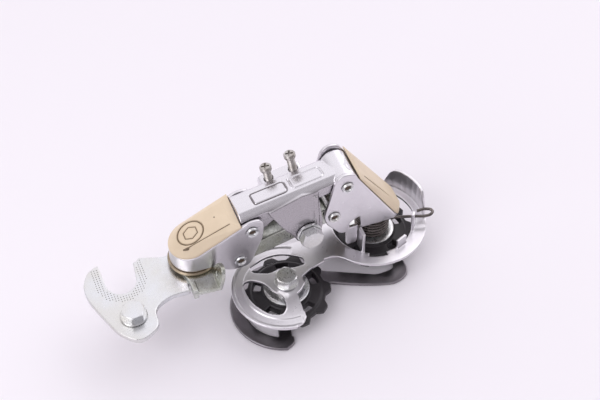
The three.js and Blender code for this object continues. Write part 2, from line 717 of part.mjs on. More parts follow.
// Pulley with blunt teeth, a web with five windows, and a hub.
const WINDOW_LEAD_DEG = 20;
const pulley = (centre, phaseDeg) => {
  const rim = [];
  const pointsPerTooth = 6;
  const count = PULLEY_TEETH * pointsPerTooth;
  for (let i = 0; i < count; i += 1) {
    const wave = 0.5 + 0.8 * Math.cos((2 * Math.PI * i) / pointsPerTooth);
    const radius = THREE.MathUtils.lerp(PULLEY_ROOT_R, PULLEY_TIP_R, THREE.MathUtils.clamp(wave, 0, 1));
    rim.push(polar(centre, radius, phaseDeg + (360 * i) / count));
  }
  const windows = [0, 1, 2, 3, 4].map((i) => {
    const middle = phaseDeg + WINDOW_LEAD_DEG + 72 * i;
    return cut(
      sector(centre, 16.6, middle - 12, middle + 12, 0, 20),
      barZ(centre, -1, 21, 12, 40),
    );
  });
  return cut(
    join(
      slabZ(rim, PULLEY_Z - 1.2, PULLEY_Z + 1.2),
      barZ(centre, PULLEY_Z - 2.2, PULLEY_Z + 2.2, 17.6, 36),
      barZ(centre, PULLEY_Z - 3.6, PULLEY_Z + 3.6, 11.6, 32),
    ),
    barZ(centre, -1, 21, PULLEY_BORE_R, 40),
    ...windows,
  );
};
const SLEEVE_R = PULLEY_BORE_R - GAP;
const pulleySet = (name, centre, phaseDeg, boreR, sleeveTop) => {
  add(`${name}_pulley`, pulley(centre, phaseDeg), 'blackPlastic');
  add(`${name}_sleeve`, washerZ(centre, SHEET + GAP, sleeveTop, SLEEVE_R, boreR), 'zinc');
  const capZ = 3.9;
  const capBore = SLEEVE_R + GAP;
  const dustCap = (z) => washerZ(centre, z, z + 0.7, DUST_CAP_R, capBore, 32);
  add(`${name}_dust_cap_outer`, dustCap(PULLEY_Z + capZ), 'zinc');
  add(`${name}_dust_cap_inner`, dustCap(PULLEY_Z - capZ - 0.7), 'zinc');
};
pulleySet('guide', CAGE_PIVOT, -13, SHAFT_R + GAP, 13);
pulleySet('tension', TENSION, -13.5, 2.5 + GAP, OUTER_PLATE_Z - GAP);

// Rivet that ties the two plates together behind the guide pulley and keeps the chain on.
add('cage_spacer', join(
  barZ(SPACER, SHEET + GAP, OUTER_PLATE_Z - GAP, 2.1, 20),
  barZ(SPACER, 0.1, outerTop + 0.9, 1.4, 16),
), 'zinc');

add('tension_pulley_bolt', join(
  barZ(TENSION, 0.2, outerTop + 1, 2.5, 24),
  barZ(TENSION, outerTop + GAP, outerTop + 1.3, 5.9, 32),
  hexZ(TENSION, outerTop + 1.2, outerTop + 5.4, 9.6),
), 'zinc');

// Cage spring: a torsion coil round the pivot whose leg ends in a finger loop.
const COIL_R = 7.9;
const COIL_WIRE_R = 0.95;
const coilTurns = 6.17;
const coilLow = 14.6;
const coilHigh = 27;
const coilPoints = [];
const coilStart = 197;
const coilSteps = 74;
for (let i = 0; i <= coilSteps; i += 1) {
  const turn = (coilTurns * i) / coilSteps;
  const [x, y] = polar(CAGE_PIVOT, COIL_R, coilStart + 360 * turn);
  coilPoints.push(vec(x, y, coilLow + ((coilHigh - coilLow) * turn) / coilTurns));
}
const LOOP = [
  [3.6, -8.6, 27],
  [9, -9.4, 26.4],
  [13.2, -8.7, 24.2],
  [17.6, -8.1, 21.9],
  [20.8, -9.2, 21.9],
  [24.2, -10.3, 21.9],
  [27.8, -10.2, 21.9],
  [29.2, -8.4, 21.9],
  [27, -6.4, 21.9],
  [22, -5.9, 21.9],
];
const coilCurve = new THREE.CatmullRomCurve3([...coilPoints, ...LOOP.map((point) => vec(...point))]);
add('cage_spring', wire(coilCurve, COIL_WIRE_R, 128, 6), 'darkSteel');

// Stand the model on the middle of its footprint.
const extent = new THREE.Box3().setFromObject(derailleur);
const middle = extent.getCenter(vec(0, 0, 0));
derailleur.position.set(-middle.x, -middle.y, -extent.min.z);

export default derailleur;
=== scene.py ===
# Rear bicycle derailleur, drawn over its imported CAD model.
import json
import math

import bpy
import bmesh
from mathutils import Matrix, Vector
from mathutils.bvhtree import BVHTree


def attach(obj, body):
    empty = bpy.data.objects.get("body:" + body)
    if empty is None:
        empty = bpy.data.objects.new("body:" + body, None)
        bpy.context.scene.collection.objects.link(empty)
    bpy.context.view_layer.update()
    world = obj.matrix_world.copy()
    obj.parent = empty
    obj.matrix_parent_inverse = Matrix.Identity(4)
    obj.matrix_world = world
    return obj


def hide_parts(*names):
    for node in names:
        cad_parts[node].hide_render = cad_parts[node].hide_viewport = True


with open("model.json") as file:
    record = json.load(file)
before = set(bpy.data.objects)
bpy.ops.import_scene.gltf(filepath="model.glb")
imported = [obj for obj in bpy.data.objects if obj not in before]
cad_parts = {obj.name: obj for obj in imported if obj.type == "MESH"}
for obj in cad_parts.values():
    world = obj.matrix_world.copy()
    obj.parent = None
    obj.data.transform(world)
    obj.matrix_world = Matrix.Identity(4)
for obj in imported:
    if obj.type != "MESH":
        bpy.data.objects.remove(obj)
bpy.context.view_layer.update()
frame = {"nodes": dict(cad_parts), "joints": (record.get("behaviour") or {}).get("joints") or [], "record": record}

NODES = frame["nodes"]
JOINTS = {joint["name"]: joint for joint in frame["joints"]}
MM = 0.001

# Every place below is in millimetres from the cage pivot axis at table height.
PIVOT = Vector(JOINTS["cage_swing"]["pos_m"])
PIVOT.z = 0


def place(x, y, z):
    """A point in the row frame, in metres, from millimetres round the cage pivot."""
    return PIVOT + Vector((x, y, z)) * MM


# ---- camera ---------------------------------------------------------------------------
VIEW_AZIMUTH, VIEW_ELEVATION = math.radians(-21), math.radians(49)
VIEW_DISTANCE = 650
VIEW_AIM = (-28.5, 26.2, 16.5)
VIEW_LENS = 76.4


def make_camera():
    back = Vector((
        math.sin(VIEW_AZIMUTH) * math.cos(VIEW_ELEVATION),
        -math.cos(VIEW_AZIMUTH) * math.cos(VIEW_ELEVATION),
        math.sin(VIEW_ELEVATION),
    ))
    data = bpy.data.cameras.new("camera")
    data.lens = VIEW_LENS
    camera = bpy.data.objects.new("camera", data)
    camera.location = place(*VIEW_AIM) + back * VIEW_DISTANCE * MM
    camera.rotation_mode = "QUATERNION"
    camera.rotation_quaternion = (-back).to_track_quat("-Z", "Y")
    bpy.context.scene.collection.objects.link(camera)
    bpy.context.scene.camera = camera


make_camera()


# ---- materials ------------------------------------------------------------------------
LINK_SHADE_Y = -8.2  # the outer link is painted darker in front of this plane: painted shade on its front face


def new_material(name):
    material = bpy.data.materials.new(name)
    material.use_nodes = True
    tree = material.node_tree
    return material, tree, tree.nodes["Principled BSDF"]


def noise(tree, scale, detail=4.0, rough=0.6, stretch=(1, 1, 1)):
    """A noise texture in metres of the row frame; scale is features per metre."""
    coords = tree.nodes.new("ShaderNodeTexCoord")
    mapping = tree.nodes.new("ShaderNodeMapping")
    mapping.inputs["Scale"].default_value = stretch
    texture = tree.nodes.new("ShaderNodeTexNoise")
    texture.inputs["Scale"].default_value = scale
    texture.inputs["Detail"].default_value = detail
    texture.inputs["Roughness"].default_value = rough
    tree.links.new(coords.outputs["Object"], mapping.inputs["Vector"])
    tree.links.new(mapping.outputs["Vector"], texture.inputs["Vector"])
    return texture.outputs["Fac"]


def ramp(tree, source, stops):
    node = tree.nodes.new("ShaderNodeValToRGB")
    elements = node.color_ramp.elements
    while len(elements) < len(stops):
        elements.new(0.5)
    for element, (position, colour) in zip(elements, stops):
        element.position = position
        element.color = (*colour, 1) if len(colour) == 3 else (colour[0],) * 3 + (1,)
    tree.links.new(source, node.inputs["Fac"])
    return node.outputs["Color"]


def spread(tree, source, low, high):
    node = tree.nodes.new("ShaderNodeMapRange")
    node.inputs["From Min"].default_value = 0.3
    node.inputs["From Max"].default_value = 0.7
    node.inputs["To Min"].default_value = low
    node.inputs["To Max"].default_value = high
    tree.links.new(source, node.inputs["Value"])
    return node.outputs["Result"]


def bump(tree, shader, source, strength, depth_mm):
    node = tree.nodes.new("ShaderNodeBump")
    node.inputs["Strength"].default_value = strength
    node.inputs["Distance"].default_value = depth_mm * MM
    tree.links.new(source, node.inputs["Height"])
    tree.links.new(node.outputs["Normal"], shader.inputs["Normal"])


def metal(name, light, dark, rough, grain=900, stretch=(1, 1, 1), bump_mm=0.01, patch=70):
    """Plated or polished metal: blotches of tone, and fine grain in the gloss and the surface."""
    material, tree, shader = new_material(name)
    shader.inputs["Metallic"].default_value = 1.0
    tone = ramp(tree, noise(tree, patch, 5), [(0.3, dark), (0.68, light)])
    tree.links.new(tone, shader.inputs["Base Color"])
    fine = noise(tree, grain, 3, 0.7, stretch)
    tree.links.new(spread(tree, fine, *rough), shader.inputs["Roughness"])
    bump(tree, shader, fine, 0.15, bump_mm)
    return material


def plastic(name, light, dark, rough, patch=60, bump_mm=0.03, grain=1500):
    material, tree, shader = new_material(name)
    tone = ramp(tree, noise(tree, patch, 8, 0.65), [(0.32, dark), (0.66, light)])
    tree.links.new(tone, shader.inputs["Base Color"])
    fine = noise(tree, grain, 3, 0.6)
    tree.links.new(spread(tree, fine, *rough), shader.inputs["Roughness"])
    bump(tree, shader, fine, 0.3, bump_mm)
    return material


def front_shaded_metal(name, polished, cast, rough, edge_y):
    """Metal that is lighter behind edge_y and painted darker in front of it, as painted shade; polished gives the
    lit tone and cast the painted shade tone.
    """
    material, tree, shader = new_material(name)
    shader.inputs["Metallic"].default_value = 1.0
    coords = tree.nodes.new("ShaderNodeTexCoord")
    axes = tree.nodes.new("ShaderNodeSeparateXYZ")
    tree.links.new(coords.outputs["Object"], axes.inputs["Vector"])
    share = tree.nodes.new("ShaderNodeMapRange")
    share.inputs["From Min"].default_value = place(0, edge_y - 1, 0).y
    share.inputs["From Max"].default_value = place(0, edge_y + 1, 0).y
    tree.links.new(axes.outputs["Y"], share.inputs["Value"])
    tone = ramp(tree, share.outputs["Result"], [(0.0, cast), (1.0, polished)])
    tree.links.new(tone, shader.inputs["Base Color"])
    fine = noise(tree, 900, 3, 0.7)
    tree.links.new(spread(tree, fine, *rough), shader.inputs["Roughness"])
    bump(tree, shader, fine, 0.15, 0.01)
    return material


MATERIALS = {
    "zinc_steel": metal("zinc_steel", (0.76, 0.78, 0.81), (0.71, 0.70, 0.66), (0.22, 0.4), patch=45),
    "cast_aluminium": metal("cast_aluminium", (0.80, 0.79, 0.82), (0.74, 0.71, 0.75), (0.18, 0.3)),
    # painted shade: the outer link's front face is darker than its top
    "link_painted_front_shade": front_shaded_metal(
        "link_painted_front_shade", (0.77, 0.755, 0.785), (0.43, 0.41, 0.43), (0.2, 0.32), LINK_SHADE_Y
    ),
    "stamped_steel": metal("stamped_steel", (0.79, 0.775, 0.80), (0.71, 0.69, 0.72), (0.27, 0.36)),
    "dark_plate": metal("dark_plate", (0.33, 0.31, 0.33), (0.24, 0.225, 0.24), (0.28, 0.42)),
    "green_zinc": metal("green_zinc", (0.66, 0.68, 0.65), (0.44, 0.45, 0.38), (0.22, 0.4), patch=130),
    "tan_plastic": plastic("tan_plastic", (0.80, 0.665, 0.485), (0.72, 0.59, 0.42), (0.36, 0.5)),
    "bronze": metal("bronze", (0.50, 0.42, 0.31), (0.32, 0.26, 0.18), (0.3, 0.5), patch=150),
    "black_plastic": plastic("black_plastic", (0.022, 0.018, 0.022), (0.012, 0.010, 0.012), (0.32, 0.48)),
    "spring_steel": metal("spring_steel", (0.24, 0.215, 0.205), (0.07, 0.06, 0.055), (0.16, 0.3), patch=200),
    "screw_steel": metal("screw_steel", (0.58, 0.56, 0.54), (0.36, 0.33, 0.30), (0.24, 0.42), patch=260),
    "knurl_shade": plastic("knurl_shade", (0.17, 0.16, 0.13), (0.09, 0.085, 0.07), (0.5, 0.7), patch=400),
    "line_shade": plastic("line_shade", (0.27, 0.20, 0.13), (0.17, 0.125, 0.08), (0.5, 0.8), patch=400),
    "frame_shade": metal("frame_shade", (0.34, 0.32, 0.33), (0.22, 0.20, 0.20), (0.35, 0.5), patch=300),
    # dark brown, for the hollows of the rivet heads
    "cup_brown": plastic("cup_brown", (0.16, 0.10, 0.06), (0.05, 0.035, 0.025), (0.5, 0.8), patch=500),
}
for part in frame["record"]["subparts"]:
    mesh = NODES[part["node"]].data
    mesh.materials.clear()
    mesh.materials.append(MATERIALS[part["material_slot"]])


# ---- mesh kit ---------------------------------------------------------------------------
# Work is done in millimetres from the cage pivot axis at table height, in objects that
# finished() then moves into the row frame.
BODY_OF = {
    node: body
    for body, members in frame["record"]["behaviour"]["bodies"].items()
    for node in members
}
SLOT_OF = {part["node"]: part["material_slot"] for part in frame["record"]["subparts"]}
TO_ROW = Matrix.Translation(PIVOT) @ Matrix.Scale(MM, 4)
GAP = 0.3


def work_object(mesh):
    obj = bpy.data.objects.new("work", mesh)
    bpy.context.scene.collection.objects.link(obj)
    return obj


def from_bmesh(bm):
    bmesh.ops.recalc_face_normals(bm, faces=bm.faces)
    mesh = bpy.data.meshes.new("work")
    bm.to_mesh(mesh)
    bm.free()
    return work_object(mesh)


def node_copy(node):
    """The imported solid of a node, welded, as a new object to work on."""
    bm = bmesh.new()
    bm.from_mesh(NODES[node].data)
    bmesh.ops.transform(bm, matrix=TO_ROW.inverted(), verts=bm.verts)
    bmesh.ops.remove_doubles(bm, verts=bm.verts, dist=0.002)
    return from_bmesh(bm)


def modify(obj, kind, **settings):
    """Adds one modifier and applies it."""
    modifier = obj.modifiers.new(kind, kind)
    for key, value in settings.items():
        setattr(modifier, key, value)
    depsgraph = bpy.context.evaluated_depsgraph_get()
    mesh = bpy.data.meshes.new_from_object(obj.evaluated_get(depsgraph))
    obj.modifiers.clear()
    old = obj.data
    obj.data = mesh
    bpy.data.meshes.remove(old)
    return obj


def boolean(obj, tool, operation):
    modify(obj, "BOOLEAN", operation=operation, object=tool, solver="EXACT")
    bpy.data.meshes.remove(tool.data)
    return obj


def cut(obj, *tools):
    for tool in tools:
        boolean(obj, tool, "DIFFERENCE")
    return obj


def join(obj, *others):
    for other in others:
        boolean(obj, other, "UNION")
    return obj


def meet(obj, tool):
    return boolean(obj, tool, "INTERSECT")


def melt(obj, voxel=0.3, rounds=5, keep=0.4):
    """Remeshes finely and rounds every edge, as on a drawn, cast or moulded piece."""
    modify(obj, "REMESH", mode="VOXEL", voxel_size=voxel)
    modify(obj, "SMOOTH", factor=0.5, iterations=rounds)
    return modify(obj, "DECIMATE", ratio=keep)


def rounded(points, steps=6):
    """A closed outline from (x, y) or (x, y, corner reach) points."""
    out = []
    for i, point in enumerate(points):
        corner = Vector(point[:2])
        reach = point[2] if len(point) > 2 else 0
        before = Vector(points[i - 1][:2]) - corner
        after = Vector(points[(i + 1) % len(points)][:2]) - corner
        reach = min(reach, before.length * 0.49, after.length * 0.49)
        if reach == 0:
            out.append(tuple(corner))
            continue
        entry, leave = corner + before.normalized() * reach, corner + after.normalized() * reach
        for k in range(steps + 1):
            t = k / steps
            out.append(tuple(entry * (1 - t) ** 2 + corner * 2 * t * (1 - t) + leave * t * t))
    return out


def polar(centre, radius, degrees):
    angle = math.radians(degrees)
    return centre[0] + radius * math.cos(angle), centre[1] + radius * math.sin(angle)


def arc(centre, radius, start, end, step=5):
    count = max(1, math.ceil(abs(end - start) / step))
    return [polar(centre, radius, start + (end - start) * i / count) for i in range(count + 1)]


ALONG = {
    "X": lambda a, b, h: (h, a, b),
    "Y": lambda a, b, h: (a, h, b),
    "Z": lambda a, b, h: (a, b, h),
}


def prism(points, low, high, axis="Z"):
    """An outline in the plane square to an axis, pushed along it."""
    bm = bmesh.new()
    ends = [[bm.verts.new(ALONG[axis](a, b, h)) for a, b in points] for h in (low, high)]
    count = len(points)
    for end in ends:
        bm.faces.new(end)
    for i in range(count):
        j = (i + 1) % count
        bm.faces.new((ends[0][i], ends[0][j], ends[1][j], ends[1][i]))
    return from_bmesh(bm)


def lathe(profile, at, axis="Z", steps=56):
    """A closed (radius, height) profile turned about an axis line through at."""
    bm = bmesh.new()
    rings = []
    for k in range(steps):
        turn = 2 * math.pi * k / steps
        rings.append([
            bm.verts.new(ALONG[axis](
                at[0] + radius * math.cos(turn),
                at[1] + radius * math.sin(turn),
                height,
            ))
            for radius, height in profile
        ])
    count = len(profile)
    for k in range(steps):
        here, there = rings[k], rings[(k + 1) % steps]
        for i in range(count):
            j = (i + 1) % count
            bm.faces.new((here[i], here[j], there[j], there[i]))
    bmesh.ops.remove_doubles(bm, verts=bm.verts, dist=1e-4)
    bmesh.ops.dissolve_degenerate(bm, edges=bm.edges, dist=1e-4)
    return from_bmesh(bm)


def disc(at, low, high, radius, edge=0, axis="Z", steps=56):
    """A round bar or plate with its rims chamfered by edge."""
    profile = [(0, low), (radius - edge, low), (radius, low + edge)]
    profile += [(radius, high - edge), (radius - edge, high), (0, high)]
    if not edge:
        profile = [(0, low), (radius, low), (radius, high), (0, high)]
    return lathe(profile, at, axis, steps)


def washer(at, low, high, outer, inner, edge=0.2, axis="Z", steps=56):
    profile = [(inner, low + edge), (inner + edge, low), (outer - edge, low), (outer, low + edge)]
    profile += [(outer, high - edge), (outer - edge, high), (inner + edge, high), (inner, high - edge)]
    return lathe(profile, at, axis, steps)


def hexagon(at, low, high, across, axis="Z", turn=0):
    """A hexagon head whose top corners are turned down to a round rim."""
    corner = across / math.sqrt(3)
    corners = [polar(at, corner, turn + 60 * i) for i in range(6)]
    block = prism(corners, min(low, high), max(low, high), axis)
    sign = 1 if high > low else -1
    rim, wide = across / 2 - 0.1, corner + 0.6
    shoulder = high - sign * (wide - rim) * 0.6
    profile = [(0, low - sign), (wide, low - sign), (wide, shoulder), (rim, high), (0, high)]
    return meet(block, lathe(profile, at, axis))


def tube(points, radius, smooth=True, sides=4, cyclic=False):
    """A round wire along points, closed on itself where cyclic."""
    curve = bpy.data.curves.new("wire", "CURVE")
    curve.dimensions = "3D"
    curve.bevel_depth = radius
    curve.bevel_resolution = sides
    curve.use_fill_caps = not cyclic
    curve.resolution_u = 6 if smooth else 1
    spline = curve.splines.new("BEZIER")
    spline.bezier_points.add(len(points) - 1)
    spline.use_cyclic_u = cyclic
    for bezier, point in zip(spline.bezier_points, points):
        bezier.co = point
        bezier.handle_left_type = bezier.handle_right_type = "AUTO" if smooth else "VECTOR"
    holder = bpy.data.objects.new("wire", curve)
    bpy.context.scene.collection.objects.link(holder)
    depsgraph = bpy.context.evaluated_depsgraph_get()
    mesh = bpy.data.meshes.new_from_object(holder.evaluated_get(depsgraph))
    bpy.data.objects.remove(holder)
    bm = bmesh.new()
    bm.from_mesh(mesh)
    bmesh.ops.remove_doubles(bm, verts=bm.verts, dist=1e-3)
    return from_bmesh(bm)


def move(obj, matrix):
    obj.data.transform(matrix)
    return obj


def finished(obj, node, sharp=None, name=None, material=None):
    """Puts a piece in the row frame, in place of its node, on the node's body."""
    obj.name = name or node + "_model"
    move(obj, TO_ROW)
    obj.data.materials.clear()
    obj.data.materials.append(MATERIALS[material or SLOT_OF[node]])
    obj.data.shade_smooth()
    if sharp:
        obj.data.set_sharp_from_angle(angle=math.radians(sharp))
    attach(obj, BODY_OF[node])
    if not name:
        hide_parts(node)
    return obj


# ---- places and sizes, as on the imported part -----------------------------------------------
CAGE_PIVOT = (0, 0)
TENSION = (-53.4, -20.4)
HANGER_PIVOT = (-93.5, 0)
AXLE_SLOT, SLOT_R = (-129.3, -0.3), 7.25
HANGER_BOLT = (-129.2, -22)
PINS = {
    "upper_outer_pin": (-66.6, 49.6),
    "upper_inner_pin": (-72.9, 31),
    "lower_outer_pin": (-18.9, 61.5),
    "lower_inner_pin": (-25.2, 42.9),
}
KNUCKLE_HALF, LINK_HALF = 11, 8.75
PIN_R, SHAFT_R = 2, 4
PULLEY_Z, PULLEY_BORE_R = 8.25, 6.3
HANGER_TOP, PLATE_TOP = 28, 16.5
BOLT_ACROSS = 10  # across the flats of a 6 mm bolt's head


# ---- hanger ----------------------------------------------------------------------------
def knurl(plate, top):
    """Rows of small pyramids pressed into the plate round the axle slot and its mouth."""
    pitch, half, height = 1.3, 0.42, 0.3
    inner, outer, reach = SLOT_R + 0.9, SLOT_R + 5, 11
    tree = BVHTree.FromObject(plate, bpy.context.evaluated_depsgraph_get())
    bm = bmesh.new()

    def solid_at(x, y):
        hit = tree.ray_cast(Vector((x, y, top + 5)), Vector((0, 0, -1)))[0]
        return hit is not None and abs(hit.z - top) < 0.2

    for i in range(-reach, reach + 1):
        for j in range(-reach, reach + 1):
            u, v = i * pitch, j * pitch
            x, y = AXLE_SLOT[0] + u, AXLE_SLOT[1] + v
            if not inner < math.hypot(u, min(v, 0)) < outer:
                continue
            if not all(solid_at(x + dx, y + dy) for dx, dy in ((1, 0), (-1, 0), (0, 1), (0, -1))):
                continue
            base = [(x - half, y - half), (x + half, y - half), (x + half, y + half), (x - half, y + half)]
            low = [bm.verts.new((*corner, top - 0.3)) for corner in base]
            peak = bm.verts.new((x, y, top + height))
            bm.faces.new(low[::-1])
            for k in range(4):
                bm.faces.new((low[k], low[(k + 1) % 4], peak))
    return from_bmesh(bm)


def make_hanger():
    top = HANGER_TOP
    plate = melt(node_copy("hanger_plate"), 0.3, 12, 0.25)
    teeth = knurl(plate, top)
    finished(plate, "hanger_plate")
    finished(teeth, "hanger_plate", sharp=20, name="hanger_plate_knurl", material="knurl_shade")

    bolt = join(
        disc(HANGER_BOLT, 20.4, top + 1, 3, 0.5),
        washer(HANGER_BOLT, top + GAP, top + 1.3, 6.4, 1, 0.35),
        hexagon(HANGER_BOLT, top + 0.8, top + 5.2, BOLT_ACROSS, turn=8),
    )
    finished(bolt, "hanger_clamp_bolt", sharp=28)
    nut = washer(HANGER_BOLT, 20.6, 24.7, 6.6, 3.3, 0.6)
    finished(nut, "hanger_clamp_nut", sharp=28)

    stem = [(0, 22.7), (5.6, 22.7), (6.7, 23.3), (7, 24.2), (6.8, 24.7), (4, 24.7)]
    stem += [(4, 37.6), (3.4, 38.3), (0, 38.3)]
    finished(lathe(stem, HANGER_PIVOT), "hanger_pivot_bolt", sharp=35)
    pivot_nut = cut(hexagon(HANGER_PIVOT, 34.1, 37.9, 11), disc(HANGER_PIVOT, 30, 42, 4.3))
    finished(pivot_nut, "hanger_pivot_nut", sharp=28)
    finished(melt(node_copy("cable_stop_bracket"), 0.22, 4, 0.4), "cable_stop_bracket")
    bushing = washer(HANGER_PIVOT, 30.1, 31.7, 12, SHAFT_R + GAP, 0.45, steps=96)
    finished(bushing, "pivot_bushing", sharp=35)


# ---- knuckles and their caps --------------------------------------------------------------
def shell_plan(open_x, end_x, half, corner):
    """Square at open_x, with round corners at end_x."""
    leftwards = end_x < open_x
    centre_x = end_x + (corner if leftwards else -corner)
    turns = ((-90, -180), (180, 90)) if leftwards else ((-90, 0), (0, 90))
    points = [(open_x, -half)]
    points += arc((centre_x, corner - half), corner, *turns[0])
    points += arc((centre_x, half - corner), corner, *turns[1])
    return points + [(open_x, half)]


def hull(*rings):
    bm = bmesh.new()
    for ring in rings:
        for point in ring:
            bm.verts.new(point)
    bmesh.ops.convex_hull(bm, input=bm.verts)
    loose = [vert for vert in bm.verts if not vert.link_faces]
    bmesh.ops.delete(bm, geom=loose, context="VERTS")
    return from_bmesh(bm)


CAP_BEVEL = 4
LINE_R, LINE_SUNK = 0.2, 0.3  # the dark wires that lie in the moulded grooves
CAP_RING_R, CAP_HEXAGON_R = 6.2, 3.5


def inlay(obj, node, name, material="line_shade"):
    """A dark line lying in a groove of the piece that stands for a node."""
    return finished(obj, node, name=f"{node}_{name}", material=material)


def cap_body(open_x, end_x, corner, open_bevel, seam, rim, top):
    """A flat top with a bevel all round; seam, rim and top give heights by x."""
    inward = 1 if end_x > open_x else -1
    outer = shell_plan(open_x, end_x, KNUCKLE_HALF, corner)
    flat = shell_plan(
        open_x + inward * open_bevel,
        end_x - inward * CAP_BEVEL,
        KNUCKLE_HALF - CAP_BEVEL,
        corner - CAP_BEVEL,
    )

    def lifted(plan, height):
        return [(x, y, height(x)) for x, y in plan]

    return hull(lifted(outer, seam), lifted(outer, rim), lifted(flat, top))


def upper_seam(x):
    """Height of the upper cap's lower edge: steep up to the pivot, and gentle beyond it."""
    if x > HANGER_PIVOT[0]:
        return 53.6 + (x + 72.2) * 0.516
    return 42.6 + (x - HANGER_PIVOT[0]) * 0.24


def upper_top(x):
    return 55.1 + (x + 76) * 0.4


def lower_seam(x):
    return 64.2 - 1.624 * (x + 12.8)


def lower_top(x):
    return 64.1 - 1.488 * (x + 10.6)


def groove(points, top, width=0.5, depth=0.65):
    """A wire along the surface that height top(x) gives, used as a cutter."""
    path = [(x, y, top(x) + width - depth) for x, y in points]
    return tube(path, width, smooth=False, sides=2, cyclic=True)


def crease(line, radius=0.42, sunk=0.0):
    """A straight wire along a line of points, as a cutter or as the dark line left in it."""
    path = [(x, y, z - sunk) for x, y, z in line]
    return tube(path, radius, smooth=False, sides=2)


def make_caps():
    cap = cap_body(
        -71.8,
        HANGER_PIVOT[0] - KNUCKLE_HALF,
        KNUCKLE_HALF,
        3.8,
        lambda x: upper_seam(x) + GAP,
        lambda x: upper_seam(x) + 1.3,
        upper_top,
    )
    hollow = meet(
        prism(shell_plan(-60, HANGER_PIVOT[0] - KNUCKLE_HALF + 4, 7.2, 7.2), 20, 80),
        prism([(-106, 36), (-75.5, 36), (-75.5, 53.4), (-106, 41.2)], -20, 20, "Y"),
    )
    ring = arc(HANGER_PIVOT, CAP_RING_R, 0, 352.5, 7.5)
    inner = [polar(HANGER_PIVOT, CAP_HEXAGON_R, 30 + 60 * i) for i in range(6)]
    cut(cap, hollow, groove(ring, upper_top), groove(inner, upper_top, 0.42, 0.5))
    edge_y = CAP_BEVEL - KNUCKLE_HALF
    line = [(x, edge_y, upper_top(x)) for x in (-97, -92, -86, -76)]
    cut(cap, crease(line))
    finished(melt(cap, 0.2, 2, 0.3), "upper_cap")
    for name, outline in (("ring", ring), ("hexagon", inner)):
        path = [(x, y, upper_top(x) - LINE_SUNK) for x, y in outline]
        inlay(tube(path, LINE_R, smooth=False, sides=2, cyclic=True), "upper_cap", name)
    inlay(crease(line, LINE_R, LINE_SUNK), "upper_cap", "crease")
    arrow_x = -97.8
    arrow = [
        (arrow_x - 1.6, edge_y - 0.1),
        (arrow_x + 1.1, edge_y - 0.7),
        (arrow_x + 1.4, edge_y + 0.6),
    ]
    inlay(prism(arrow, upper_top(arrow_x) - 1, upper_top(arrow_x) + 0.1), "upper_cap", "arrow")
    dimple = (-81, 1)
    spot_top = upper_top(dimple[0]) + 0.04
    inlay(disc(dimple, spot_top - 0.8, spot_top, 0.5, 0.1, steps=16), "upper_cap", "dimple")

    wall_top = 28.4
    cap = cap_body(
        -12.6,
        12,
        7,
        2,
        lambda x: max(lower_seam(x) + 2 * GAP, wall_top + GAP),
        lambda x: max(lower_seam(x) + 1.9, wall_top + 4.2),
        lower_top,
    )
    line = [(x, edge_y, lower_top(x) + 0.1) for x in (-8.8, -3, 3, 6.6)]
    cut(cap, crease(line))
    finished(melt(cap, 0.2, 2, 0.3), "lower_cap")
    inlay(crease(line, LINE_R, LINE_SUNK), "lower_cap", "crease")


def make_knuckles():
    for node in ("upper_knuckle", "lower_knuckle"):
        finished(melt(node_copy(node), 0.3, 8, 0.35), node)
    for node, at in PINS.items():
        inner, outer = KNUCKLE_HALF + GAP, KNUCKLE_HALF + GAP + 0.9
        half = [(PIN_R, inner), (3.1, inner), (3.1, inner + 0.3), (2.75, outer)]
        half += [(2.1, outer), (1.65, outer - 0.5), (1.5, outer - 1.7), (0, outer - 1.9)]
        profile = [(r, -h) for r, h in half[::-1]] + half
        finished(lathe(profile, at, "Y", 40), node, sharp=50)
        # A dark brown disc lies in the hollow of each rivet head.
        floor_h = outer - 1.95
        cup_fill = [(0, floor_h), (1.6, floor_h), (1.6, outer - 1.2), (0.8, outer - 0.95), (0, outer - 0.9)]
        for side, name in ((-1, "front"), (1, "back")):
            cup = lathe([(r, side * h) for r, h in cup_fill], at, "Y", 24)
            finished(cup, node, sharp=50, name=f"{node}_cup_{name}", material="cup_brown")
    bush = [(4.3, 22.3), (4.6, 22), (5.2, 22), (5.5, 22.3), (5.5, 32.5), (6.3, 32.5)]
    bush += [(6.5, 32.7), (6.5, 33), (6.3, 33.2), (4.6, 33.2), (4.3, 32.9)]
    finished(lathe(bush, CAGE_PIVOT), "cage_pivot_bushing", sharp=35)


# ---- parallelogram ------------------------------------------------------------------------
CLAMP, WEB_Y = (-39, 39.7), -12.6
LINK_START, LINK_END = (-71.4, 58.2), (-12, 68.8)
LINK_SLOPE = (LINK_END[1] - LINK_START[1]) / (LINK_END[0] - LINK_START[0])
CROWN_FALL = 2.4 / 9.75  # the crown falls away behind its ridge
RIDGE_Y = -2.4


def crown_height(x, y):
    return LINK_START[1] + (x - LINK_START[0]) * LINK_SLOPE - max(0, y - RIDGE_Y) * CROWN_FALL


def plain_frame(x0, x1, y0, y1, width=0.6, sunk=0.0):
    """An empty frame line sunk into the crowned top."""
    corners = rounded([(x0, y0, 0.8), (x1, y0, 2), (x1, y1, 2), (x0, y1, 0.8)], 4)
    path = [(x, y, crown_height(x, y) - sunk) for x, y in corners]
    return tube(path, width, smooth=False, sides=2, cyclic=True)


SCREW_AXIS = Vector((-0.16, 0.05, 0.985)).normalized()
SCREW_HEADS = {
    "limit_screw_high": Vector((-38.9, 12.4, 66.6)),
    "limit_screw_low": Vector((-51, 12.4, 62.4)),
}


